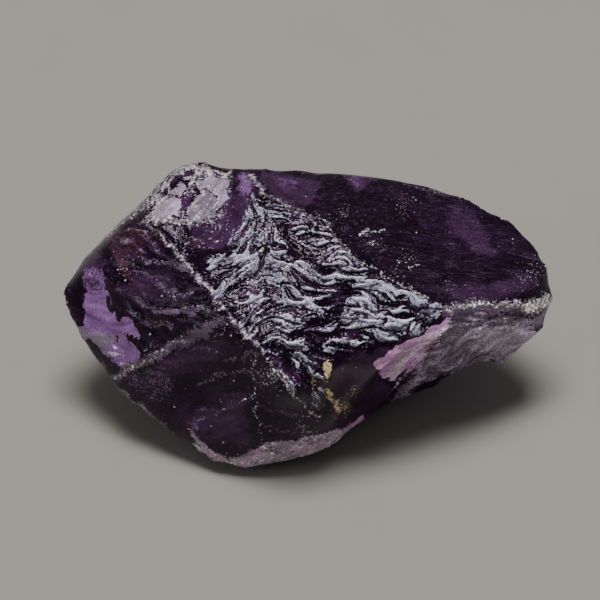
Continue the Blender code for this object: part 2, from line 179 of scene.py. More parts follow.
# Patches of a finish: finish, strength, softness of the edge, outline.
PATCHES = (
    # on the dark top face
    ("plum", 0.64, 0.8, ((2.4, 13.7), (7.4, 13.1), (6.4, 11.9), (5.0, 11.5), (4.5, 10.7),
        (3.6, 11.8))),
    ("violet", 0.46, 0.5, ((3.0, 13.4), (6.4, 12.9), (5.4, 12.2), (4.4, 11.6), (3.9, 12.2))),
    # painted sheen: a grey-brown reflection along the top edge
    ("smoke", 0.52, 1.2, ((7.6, 12.8), (13.5, 11.9), (15.0, 10.2), (11.5, 10.6), (8.6, 11.5))),
    ("plum", 0.62, 1.2, ((13.6, 10.6), (15.4, 9.9), (18.4, 5.0), (15.4, 5.0), (13.2, 7.0),
        (12.0, 8.7))),
    ("plum", 0.62, 0.8, ((8.4, 3.3), (12.2, 2.9), (17.7, 3.6), (21.2, 4.4), (21.8, 2.3), (17.0, 1.0),
        (13.6, 1.1))),
    ("plum", 0.52, 1.0, ((18.4, 6.6), (20.8, 6.4), (22.0, 4.0), (20.2, 4.2))),
    # the violet corner at the top, and the facet beside it
    ("violet", 0.60, 1.0, ((-6.8, 13.0), (-4.9, 13.3), (-4.5, 11.8), (-5.1, 10.4), (-6.4, 10.8))),
    ("plum", 0.72, 1.2, ((-7.2, 11.8), (-4.4, 11.1), (-4.7, 6.9), (-8.4, 5.5), (-10.9, 5.9),
        (-10.9, 8.2))),
    ("plum", 0.82, 0.7, ((-4.5, 13.6), (1.3, 12.2), (0.5, 10.1), (-0.6, 9.6), (-2.5, 10.6),
        (-4.1, 12.0))),
    ("violet", 0.50, 0.8, ((-3.9, 13.2), (-0.4, 12.4), (-0.6, 11.2), (-2.5, 11.6))),
    # the broken facets of the crushed top
    ("smoke", 0.85, 0.10, ((-11.1, 9.0), (-10.1, 11.0), (-9.4, 11.6), (-8.0, 10.4), (-8.5, 8.8),
        (-9.8, 8.6))),
    ("lilac", 0.90, 0.15, ((-10.1, 11.0), (-10.0, 12.3), (-8.7, 12.8), (-7.0, 12.3), (-7.3, 10.6),
        (-8.4, 9.2), (-8.2, 10.7), (-9.4, 11.7))),
    ("lilac", 0.80, 0.20, ((-14.6, 9.0), (-12.9, 10.8), (-11.6, 10.6), (-11.8, 9.2), (-13.4, 8.6))),
    ("lilac", 0.85, 0.15, ((-12.9, 11.0), (-11.6, 12.2), (-10.9, 11.6), (-11.6, 10.8))),
    ("plum", 0.85, 0.3, ((-13.0, 11.8), (-11.4, 13.4), (-10.4, 12.8), (-10.5, 12.2), (-11.6, 12.4))),
    ("plum", 0.85, 0.3, ((-11.9, 10.2), (-11.2, 11.2), (-10.5, 10.4), (-11.3, 9.0), (-11.8, 9.0))),
    ("plum", 0.80, 0.3, ((-8.4, 8.9), (-7.0, 10.4), (-5.9, 10.0), (-6.4, 8.6), (-8.6, 7.9))),
    # the windows at the left end: painted violet light coming through the thin stone
    ("violet", 0.54, 0.35, ((-20.4, 4.4), (-19.4, 4.7), (-18.4, 4.4), (-18.2, 3.3), (-18.4, 2.0),
        (-17.7, 1.1), (-18.6, 0.6), (-20.3, 1.4), (-20.6, 3.0))),
    ("violet", 0.95, 0.18, ((-20.5, 2.0), (-18.4, 2.2), (-17.7, 1.1), (-17.1, -0.2), (-16.2, -0.6),
        (-15.6, -1.1), (-15.3, -1.9), (-15.7, -2.3), (-15.2, -3.6), (-15.7, -4.4), (-16.8, -4.7),
        (-18.5, -3.7), (-18.8, -3.3), (-17.6, -2.3), (-17.4, -1.9), (-18.8, -1.7), (-20.4, -1.4),
        (-20.2, 0.5))),
    ("smoke", 0.95, 0.25, ((-21.2, -1.2), (-19.8, -1.0), (-17.9, -1.4), (-17.6, -2.1), (-18.0, -3.2),
        (-18.9, -3.4), (-19.7, -2.7), (-20.7, -2.3))),
    ("plum", 0.85, 0.6, ((-21.6, 4.4), (-19.0, 6.0), (-18.0, 4.6), (-20.6, 3.8))),
    # the bowls
    ("reddish", 0.54, 1.6, ((-18.9, 7.8), (-14.4, 9.0), (-13.8, 6.0), (-15.7, 3.6), (-18.0, 4.4),
        (-18.9, 6.0))),
    ("plum", 0.60, 1.0, ((-16.2, 4.9), (-12.0, 4.6), (-11.4, 2.0), (-14.8, 0.6), (-16.8, 2.2))),
    # the dark face
    ("plum", 0.64, 1.4, ((-14.7, -4.4), (-8.4, -1.0), (-6.5, -2.4), (-8.4, -4.6), (-13.0, -6.6),
        (-15.6, -6.2))),
    ("bruise", 0.46, 1.0, ((-17.2, -5.2), (-13.4, -4.2), (-11.6, -6.0), (-12.1, -7.8), (-14.4, -8.4),
        (-16.6, -7.0))),
    ("plum", 0.66, 1.5, ((-13.1, -9.0), (-8.4, -7.8), (-5.2, -9.0), (-4.5, -11.4), (-5.4, -12.5),
        (-10.8, -11.4))),
    ("violet", 0.50, 0.5, ((-11.6, -9.8), (-10.2, -9.4), (-9.4, -10.2), (-10.6, -10.9))),
    ("plum", 0.50, 1.2, ((-3.8, -9.0), (0.4, -9.8), (0.0, -11.0), (-3.6, -11.0))),
    # the pale window beside the pit: painted light coming through the thin stone
    ("petal", 0.95, 0.15, ((6.2, -4.2), (8.0, -3.0), (10.3, -1.8), (12.6, -0.3), (13.3, -0.1),
        (12.2, -1.8), (10.3, -3.4), (9.0, -4.8), (7.9, -5.9), (6.8, -5.8), (6.4, -5.0))),
    ("violet", 0.55, 0.6, ((6.0, -4.2), (8.0, -3.0), (11.6, -0.9), (11.0, -1.4), (8.4, -3.6),
        (6.8, -4.8))),
    ("pearl", 0.56, 0.45, ((6.9, -5.9), (7.8, -4.1), (9.9, -2.7), (12.4, -0.8), (11.6, -1.8),
        (9.4, -3.8), (8.2, -5.6))),
    ("petal", 0.90, 0.4, ((9.0, -4.8), (10.4, -3.3), (12.9, -0.6), (13.0, -1.0), (10.6, -4.0),
        (9.2, -5.6))),
    # the fluted face: a painted grey and lilac sheen, the floor's reflection
    ("smoke", 0.60, 0.6, FLUTED),
    ("lilac", 0.92, 1.6, ((15.4, -1.0), (20.4, -0.6), (20.6, -3.4), (17.0, -3.8))),
    # rust in the pit
    ("rust", 0.72, 0.10, ((1.5, -4.1), (2.0, -4.0), (2.2, -5.0), (1.9, -6.0), (1.7, -5.4),
        (1.4, -4.9))),
    ("rust", 0.70, 0.10, ((1.6, -6.6), (2.2, -6.8), (2.4, -7.6), (2.9, -8.0), (2.8, -9.0), (2.5, -8.4),
        (2.0, -7.9))),
    # the foot's rim
    ("violet", 0.62, 0.3, FOOT_RIM),
    ("petal", 0.60, 0.4, FOOT_RIM),
    ("frost", 0.42, 0.3, FOOT_RIM),
)

# Lines of a finish: finish, strength, width, points.
LINES = (
    ("frost", 0.42, 0.34, ((-21.0, 5.0), (-18.6, 7.2), (-15.0, 10.0), (-14.0, 12.0), (-11.8, 13.9))),
    ("frost", 0.57, 0.22, ((-14.8, 8.5), (-12.4, 6.4), (-9.4, 2.7), (-6.2, -0.9), (-4.1, -3.2),
        (-1.6, -6.7), (1.0, -9.4))),
    ("bruise", 0.72, 0.45, ((-14.8, 8.5), (-12.4, 6.4), (-9.4, 2.7), (-6.2, -0.9), (-4.1, -3.2))),
    ("frost", 0.52, 0.20, ((-5.0, 12.6), (-3.9, 11.3), (-2.0, 10.2), (-0.6, 9.4), (0.7, 8.6))),
    ("bruise", 0.70, 0.40, ((-5.0, 12.6), (-3.9, 11.3), (-2.0, 10.2), (-0.6, 9.4), (0.7, 8.6))),
    ("frost", 0.50, 0.20, ((0.9, 9.4), (2.1, 7.8), (3.5, 6.0), (5.3, 4.6), (8.5, 2.8), (12.7, 0.6))),
    ("bruise", 0.95, 0.75, ((12.9, 0.3), (14.9, 0.8), (17.6, 0.8), (19.9, 0.7), (22.4, 0.8))),
    ("frost", 0.56, 0.38, ((12.9, 0.5), (14.9, 1.0), (17.6, 1.1), (19.9, 1.0), (21.3, 1.4),
        (22.4, 1.3))),
    ("frost", 0.66, 0.70, ((20.2, 0.5), (21.6, 0.9), (22.2, 1.6))),
    ("frost", 0.52, 0.22, ((13.3, -0.3), (12.2, -1.8), (10.2, -4.1), (8.5, -5.8), (7.1, -7.4),
        (5.3, -9.4))),
    ("frost", 0.36, 0.35, ((-17.5, -5.5), (-15.3, -4.6), (-13.4, -3.4), (-11.4, -2.2))),
    ("bruise", 0.80, 0.60, ((-17.5, -5.5), (-13.4, -3.5), (-11.4, -2.4), (-9.4, -1.4), (-8.3, -0.5))),
    ("frost", 0.42, 0.16, ((-4.9, -3.7), (-4.7, -6.1), (-4.9, -7.4), (-4.7, -8.9), (-4.1, -11.4),
        (-4.4, -12.5))),
    ("frost", 0.36, 0.14, ((-4.9, -7.4), (-7.2, -8.4), (-9.8, -9.6))),
    # painted highlights along the bowls' ledges, in lilac and smoke
    ("lilac", 0.50, 0.34, ((-14.7, 4.9), (-13.0, 4.8), (-10.4, 4.0))),
    ("smoke", 0.50, 0.65, ((-13.6, 2.7), (-12.1, 2.0), (-10.6, 2.1))),
    ("smoke", 0.56, 0.42, ((-12.1, 0.5), (-10.7, 0.4), (-9.0, 0.8))),
    ("frost", 0.36, 0.20, ((-11.6, 6.2), (-10.4, 6.9), (-8.0, 6.8))),
    ("lilac", 0.50, 0.18, ((-9.0, -1.9), (-6.6, -1.7), (-5.4, -1.4))),
    ("violet", 0.62, 0.40, ((13.5, -5.3), (17.6, -4.4), (19.0, -3.6))),
    ("frost", 0.34, 0.26, ((-22.2, 0.1), (-20.8, -2.7), (-17.0, -7.2), (-12.6, -10.6))),
    ("bruise", 0.80, 0.40, ((-22.2, 0.1), (-20.8, -2.7), (-17.0, -7.2), (-12.6, -10.6))),
    # ledges of the bowls; the lilac lines are painted highlights on their rims
    ("bruise", 0.66, 0.30, ((-13.2, 4.8), (-11.7, 4.4), (-10.1, 3.9))),
    ("bruise", 0.62, 0.24, ((-15.7, 4.2), (-14.2, 3.6), (-12.6, 3.3))),
    ("bruise", 0.66, 0.34, ((-15.7, 1.4), (-14.2, 0.5), (-11.7, 0.3), (-9.5, 0.6))),
    ("bruise", 0.62, 0.26, ((-16.3, 0.2), (-14.5, -0.8), (-12.3, -1.1))),
    ("reddish", 0.80, 0.36, ((-17.9, 6.1), (-16.8, 4.8), (-16.3, 3.3))),
    ("reddish", 0.80, 0.30, ((-17.6, 7.3), (-16.0, 7.8), (-14.5, 7.6), (-13.2, 6.8))),
    ("lilac", 0.54, 0.13, ((-13.4, 5.1), (-11.7, 4.7), (-10.0, 4.2))),
    ("lilac", 0.54, 0.13, ((-15.7, 1.7), (-14.2, 0.8), (-11.7, 0.6), (-9.7, 0.9))),
    ("lilac", 0.52, 0.12, ((-16.2, 0.5), (-14.5, -0.5), (-12.4, -0.8))),
    ("lilac", 0.50, 0.12, ((-17.7, 7.5), (-16.0, 8.0), (-14.4, 7.8), (-13.1, 7.0))),
    ("lilac", 0.52, 0.12, ((-12.0, 7.6), (-10.4, 7.0), (-8.9, 6.1))),
    # ledges of the dark face; the lilac lines are painted highlights on their rims
    ("lilac", 0.52, 0.16, ((-7.6, -4.3), (-6.1, -3.9), (-4.9, -3.7))),
    ("bruise", 0.62, 0.30, ((-7.6, -4.1), (-6.1, -3.7), (-4.9, -3.5))),
    ("bruise", 0.56, 0.30, ((-10.1, -6.7), (-8.6, -5.6), (-6.7, -5.1), (-4.8, -5.3))),
    ("lilac", 0.48, 0.10, ((-9.6, -6.5), (-8.4, -5.8), (-6.9, -5.4))),
    ("bruise", 0.54, 0.26, ((-4.4, -8.2), (-2.4, -8.9), (0.2, -9.4))),
    ("bruise", 0.54, 0.26, ((-3.9, -10.2), (-2.0, -10.6), (0.6, -10.4))),
    # scratches on the flat facet of the crushed top, and the white edges about it
    ("pearl", 0.62, 0.10, ((-11.0, 9.3), (-9.5, 11.2))),
    ("pearl", 0.62, 0.10, ((-10.2, 8.9), (-8.6, 10.7))),
    ("pearl", 0.60, 0.09, ((-9.5, 8.8), (-8.3, 10.1))),
    ("frost", 0.62, 0.16, ((-10.1, 10.9), (-9.3, 11.8), (-8.1, 10.7), (-8.4, 9.0))),
    ("frost", 0.62, 0.18, ((-14.6, 9.0), (-12.9, 10.8), (-12.6, 12.4), (-10.2, 13.6), (-7.2, 12.9))),
    ("frost", 0.50, 0.18, ((-14.4, 8.8), (-12.6, 8.4), (-11.3, 8.9), (-9.8, 8.4), (-8.3, 8.6))),
    # chips on the dark top face
    ("frost", 0.60, 0.15, ((5.0, 7.2), (5.2, 7.9), (6.2, 7.7), (7.1, 7.8))),
    ("frost", 0.52, 0.13, ((5.6, 6.6), (6.6, 6.4))),
    ("frost", 0.46, 0.13, ((8.2, 4.9), (9.4, 4.6), (10.2, 4.7))),
)

# Scattered grains: finish, strength, across, up, reach.
SCATTERED = (
    ("frost", 0.34, 5.4, 7.3, 0.5), ("frost", 0.22, 6.3, 6.2, 0.9), ("frost", 0.24, 9.2, 5.0, 1.0),
    ("frost", 0.22, 8.0, 3.6, 0.9), ("frost", 0.20, 3.3, 9.6, 0.9), ("frost", 0.20, 8.6, 9.8, 1.0),
    ("frost", 0.36, -3.2, -5.6, 1.1), ("frost", 0.26, -14.0, -3.2, 0.7), ("frost", 0.40, 18.2, -2.2, 1.8),
    ("frost", 0.26, -0.4, -10.2, 1.0), ("frost", 0.28, -8.2, 9.0, 1.4), ("rust", 0.42, 3.2, -8.4, 1.0),
    ("rust", 0.42, 0.6, -5.9, 0.6), ("rust", 0.38, 4.6, -7.0, 0.8), ("frost", 0.26, 20.6, 3.6, 1.2),
    ("petal", 0.44, -21.8, 1.4, 0.6),
    ("frost", 0.22, 12.8, 2.6, 0.8), ("frost", 0.18, -16.4, 4.6, 1.2), ("frost", 0.22, -11.0, 6.6, 1.2),
    ("frost", 0.36, -3.8, 7.6, 1.2), ("frost", 0.30, 1.2, 6.4, 2.2), ("frost", 0.26, -5.0, 1.0, 3.0),
)

# Windows crossed by pale waves of painted light, and how strong the waves are.
WAVED = (
    (0.28, ((-17.4, -1.4), (-15.6, -1.8), (-15.2, -4.3), (-16.6, -4.7), (-18.4, -3.7))),
    (0.28, ((6.6, -4.6), (8.4, -3.0), (12.8, -0.4), (12.0, -2.0), (8.0, -5.8))),
)

# Facets kept free of crushed grain.
FLAT_FACETS = (
    ((-11.1, 9.0), (-10.1, 11.0), (-10.0, 12.3), (-8.7, 12.8), (-7.0, 12.3), (-7.3, 10.6), (-8.5, 8.8),
        (-9.8, 8.6)),
    ((-14.3, 9.2), (-12.9, 10.6), (-11.6, 10.6), (-11.2, 11.2), (-10.5, 10.4), (-11.3, 9.0),
        (-13.4, 8.8)),
    ((-13.0, 11.8), (-11.4, 13.2), (-10.4, 12.8), (-10.9, 11.6), (-11.6, 10.9), (-12.7, 11.1)),
)

# Places kept clear, and so dark, inside the patches: softness, outline.
CLEARED = (
    (0.10, ((-22.4, 2.3), (-20.9, 2.4), (-20.3, 1.4), (-20.5, -0.3), (-21.2, -1.0), (-22.0, 0.4))),
    (0.08, ((-18.5, 1.7), (-18.1, 1.6), (-17.4, 0.4), (-17.0, -0.5), (-17.3, -0.4), (-18.0, 0.7))),
    (0.08, ((-16.6, -1.6), (-15.6, -2.0), (-15.5, -2.4), (-16.4, -2.1))),
    (0.10, ((-20.6, -2.6), (-19.6, -2.2), (-18.7, -3.3), (-18.9, -3.9), (-19.8, -3.7))),
)

# Places of the splintered face with more painted silvery sheen: across, up, reach across, reach up.
SILVER_SHEEN_SPOTS = (
    (-3.9, 8.0, 0.9, 2.4), (-6.0, 5.2, 2.0, 0.9), (2.8, 3.3, 0.9, 0.7), (1.6, -2.4, 1.2, 1.2),
    (-0.6, -2.2, 2.4, 0.6), (9.4, -0.8, 2.0, 0.8), (-7.6, 1.2, 1.2, 1.2), (5.6, -2.4, 2.2, 0.6),
    (3.2, 5.6, 2.0, 0.8), (-3.6, 2.7, 1.0, 1.0),
)


def eye_axes(above, behind=False):
    """A view's directions: across, up the picture, towards the eye, as rows."""
    tilt = math.radians(above)
    turn = -1.0 if behind else 1.0
    across = np.array((turn, 0.0, 0.0))
    up = np.array((0.0, turn * math.sin(tilt), math.cos(tilt)))
    return across, up, np.cross(across, up)


def picture(places, above=SEEN_FROM_ABOVE, behind=False):
    """Where points lie in a view: across, up and towards the eye, as the eye sees them."""
    across, up, towards = eye_axes(above, behind)
    offset = places - MIDDLE
    depth = offset @ towards
    near = 1 - depth / EYE_DISTANCE
    return offset @ across / near, offset @ up / near, depth


def smoothstep(low, high, value):
    t = np.clip((value - low) / (high - low), 0, 1)
    return t * t * (3 - 2 * t)


def line_distance(points, x, y):
    nearest = np.full(x.shape, 1e9)
    for (x0, y0), (x1, y1) in zip(points, points[1:]):
        dx, dy = x1 - x0, y1 - y0
        t = np.clip(((x - x0) * dx + (y - y0) * dy) / (dx * dx + dy * dy), 0, 1)
        nearest = np.minimum(nearest, np.hypot(x - x0 - t * dx, y - y0 - t * dy))
    return nearest


def inside(outline, x, y, soft):
    """1 well inside the outline, 0 well outside, blending over the soft distance."""
    crossed = np.zeros(x.shape, dtype=bool)
    for (x0, y0), (x1, y1) in zip(outline, outline[1:] + outline[:1]):
        if y0 != y1:
            crossed ^= ((y0 > y) != (y1 > y)) & (x < x0 + (y - y0) * (x1 - x0) / (y1 - y0))
    nearest = line_distance(outline + outline[:1], x, y)
    return smoothstep(-soft, soft, np.where(crossed, nearest, -nearest))


def cloud(places, size, shift=0.0):
    """Soft noise about zero that changes over this distance."""
    return np.array([noise.noise(Vector(spot)) for spot in places / size + shift])


# Width and length of the ribbons, in millimetres: broad, coarse, fine, and hair lines.
RIBBONS = ((0.9, 3.8), (0.34, 3.0), (0.16, 1.8), (0.30, 9.0))


class Comb:
    """Noise combed along the strands of one view, so that its ribbons follow the breaks."""

    STEP = 0.08
    HALF = (25.0, 17.0)
    SWAY = 0.34

    def __init__(self, strands, seed):
        self.random = np.random.default_rng(seed)
        self.x = np.arange(-self.HALF[0], self.HALF[0], self.STEP)
        self.y = np.arange(-self.HALF[1], self.HALF[1], self.STEP)
        x, y = np.meshgrid(self.x, self.y)
        double = np.zeros((2, *x.shape))
        for cx, cy, degrees, reach in strands:
            near = np.exp(-((x - cx) ** 2 + (y - cy) ** 2) / (2 * reach**2)) + 1e-12
            near += 1e-6 / (1 + (x - cx) ** 2 + (y - cy) ** 2)
            turn = 2 * math.radians(degrees)
            double += near * np.array((math.cos(turn), math.sin(turn)))[:, None, None]
        angle = 0.5 * np.arctan2(double[1], double[0]) + self.SWAY * self.blurred(0.8)
        self.flow = np.cos(angle), np.sin(angle)

    def blurred(self, size):
        """White noise, blurred to this size and brought to a spread of 1."""
        white = self.random.standard_normal((len(self.y), len(self.x)))
        fy = np.fft.fftfreq(len(self.y), self.STEP)[:, None]
        fx = np.fft.rfftfreq(len(self.x), self.STEP)[None, :]
        soft = np.exp(-2 * (math.pi * size / 2) ** 2 * (fx**2 + fy**2))
        made = np.fft.irfft2(np.fft.rfft2(white) * soft, s=white.shape)
        return made / made.std()

    def grid(self, width, length):
        """Ribbons of this width and length, over the whole view."""
        seeds = self.blurred(width)
        rows, columns = np.indices(seeds.shape).astype(float)
        total = np.zeros(seeds.shape)
        reach = round(length / 2 / self.STEP)
        for way in (1, -1):
            r, c = rows.copy(), columns.copy()
            heading = None
            for _ in range(reach):
                ri = np.clip(np.rint(r), 0, seeds.shape[0] - 1).astype(int)
                ci = np.clip(np.rint(c), 0, seeds.shape[1] - 1).astype(int)
                total += seeds[ri, ci]
                dx, dy = self.flow[0][ri, ci] * way, self.flow[1][ri, ci] * way
                if heading is not None:
                    turned = np.where(dx * heading[0] + dy * heading[1] < 0, -1, 1)
                    dx, dy = dx * turned, dy * turned
                heading = dx, dy
                r, c = r + dy, c + dx
        return (total - total.mean()) / total.std()

    def sample(self, grid, x, y):
        """The grid's value at points of the view."""
        c = np.clip((x + self.HALF[0]) / self.STEP, 0, len(self.x) - 1.001)
        r = np.clip((y + self.HALF[1]) / self.STEP, 0, len(self.y) - 1.001)
        c0, r0 = c.astype(int), r.astype(int)
        fc, fr = c - c0, r - r0
        top = grid[r0, c0] * (1 - fc) + grid[r0, c0 + 1] * fc
        low = grid[r0 + 1, c0] * (1 - fc) + grid[r0 + 1, c0 + 1] * fc
        return top * (1 - fr) + low * fr


def places_of(mesh):
    places = np.empty(len(mesh.vertices) * 3)
    mesh.vertices.foreach_get("co", places)
    return places.reshape(-1, 3)


def facing_of(mesh):
    facing = np.empty(len(mesh.vertices) * 3)
    mesh.vertex_normals.foreach_get("vector", facing)
    return facing.reshape(-1, 3)


def put_places(mesh, places):
    mesh.vertices.foreach_set("co", places.ravel())
    mesh.update()


class Neighbours:
    """Means over the points that share an edge."""

    def __init__(self, mesh):
        ends = np.empty(len(mesh.edges) * 2, dtype=np.int64)
        mesh.edges.foreach_get("vertices", ends)
        ends = ends.reshape(-1, 2)
        self.to = np.concatenate([ends[:, 0], ends[:, 1]])
        self.of = np.concatenate([ends[:, 1], ends[:, 0]])
        self.count = len(mesh.vertices)
        self.degree = np.bincount(self.to, minlength=self.count)

    def mean(self, values):
        if values.ndim == 1:
            return np.bincount(self.to, values[self.of], self.count) / self.degree
        return np.stack([self.mean(column) for column in values.T], axis=1)


def ridge_nearness(mesh, neighbours, passes=3):
    """How sharply the surface bends at each point, from 0 on a smooth break to 1 on a ridge."""
    smooth = facing_of(mesh)
    for _ in range(passes):
        smooth = 0.5 * smooth + 0.5 * neighbours.mean(smooth)
    return 1 - np.linalg.norm(smooth, axis=1)


def fine_copy(sizes):
    """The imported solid's surface as an even mesh in millimetres."""
    bm = bmesh.new()
    bm.from_mesh(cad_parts[NODE].data)
    bmesh.ops.remove_doubles(bm, verts=bm.verts, dist=1e-7)
    bmesh.ops.scale(bm, vec=(1 / MM,) * 3, verts=bm.verts)
    rough = bpy.data.meshes.new("rough_amethyst")
    bm.to_mesh(rough)
    bm.free()
    stone = bpy.data.objects.new("rough_amethyst", rough)
    bpy.context.scene.collection.objects.link(stone)
    remesh = stone.modifiers.new("grain", "REMESH")
    remesh.mode = "VOXEL"
    remesh.voxel_size = sizes.grain
    graph = bpy.context.evaluated_depsgraph_get()
    stone.data = bpy.data.meshes.new_from_object(stone.evaluated_get(graph))
    stone.modifiers.clear()
    bpy.data.meshes.remove(rough)
    return stone


def even_out(stone, sizes):
    """Irons the smooth breaks and keeps the ridges."""
    mesh = stone.data
    neighbours = Neighbours(mesh)
    places = places_of(mesh)
    flat_base = places[:, 2] < 0.3 * sizes.grain
    ridge = smoothstep(0.006, 0.03, ridge_nearness(mesh, neighbours))
    ridge = neighbours.mean(ridge)
    x, y, _ = picture(places)
    front = smoothstep(0.0, 0.25, facing_of(mesh) @ eye_axes(SEEN_FROM_ABOVE)[2])
    hackly = front * inside(SPLINTERED, x, y, 0.4)
    ease = (1 - ridge) * (1 - 0.7 * hackly)
    for _ in range(3):
        places += 0.5 * (neighbours.mean(places) - places)
    for _ in range(sizes.smoothing):
        places += (0.55 * ease)[:, None] * (neighbours.mean(places) - places)
    places[flat_base, 2] = 0
    put_places(mesh, places)


def refine_front(stone):
    """Splits the edges that the front view sees, but not well inside its plainest faces."""
    mesh = stone.data
    x, y, _ = picture(places_of(mesh))
    plain = sum(inside(outline, x, y, 0.6) > 0.99 for outline in (TOP_FACE, DARK_FACE, PIT))
    busy = (facing_of(mesh) @ eye_axes(SEEN_FROM_ABOVE)[2] > -0.02) & (plain == 0)
    bm = bmesh.new()
    bm.from_mesh(mesh)
    edges = [e for e in bm.edges if busy[e.verts[0].index] and busy[e.verts[1].index]]
    bmesh.ops.subdivide_edges(bm, edges=edges, cuts=1, use_grid_fill=True)
    bmesh.ops.triangulate(bm, faces=[f for f in bm.faces if len(f.verts) > 4])
    bm.to_mesh(mesh)
    bm.free()


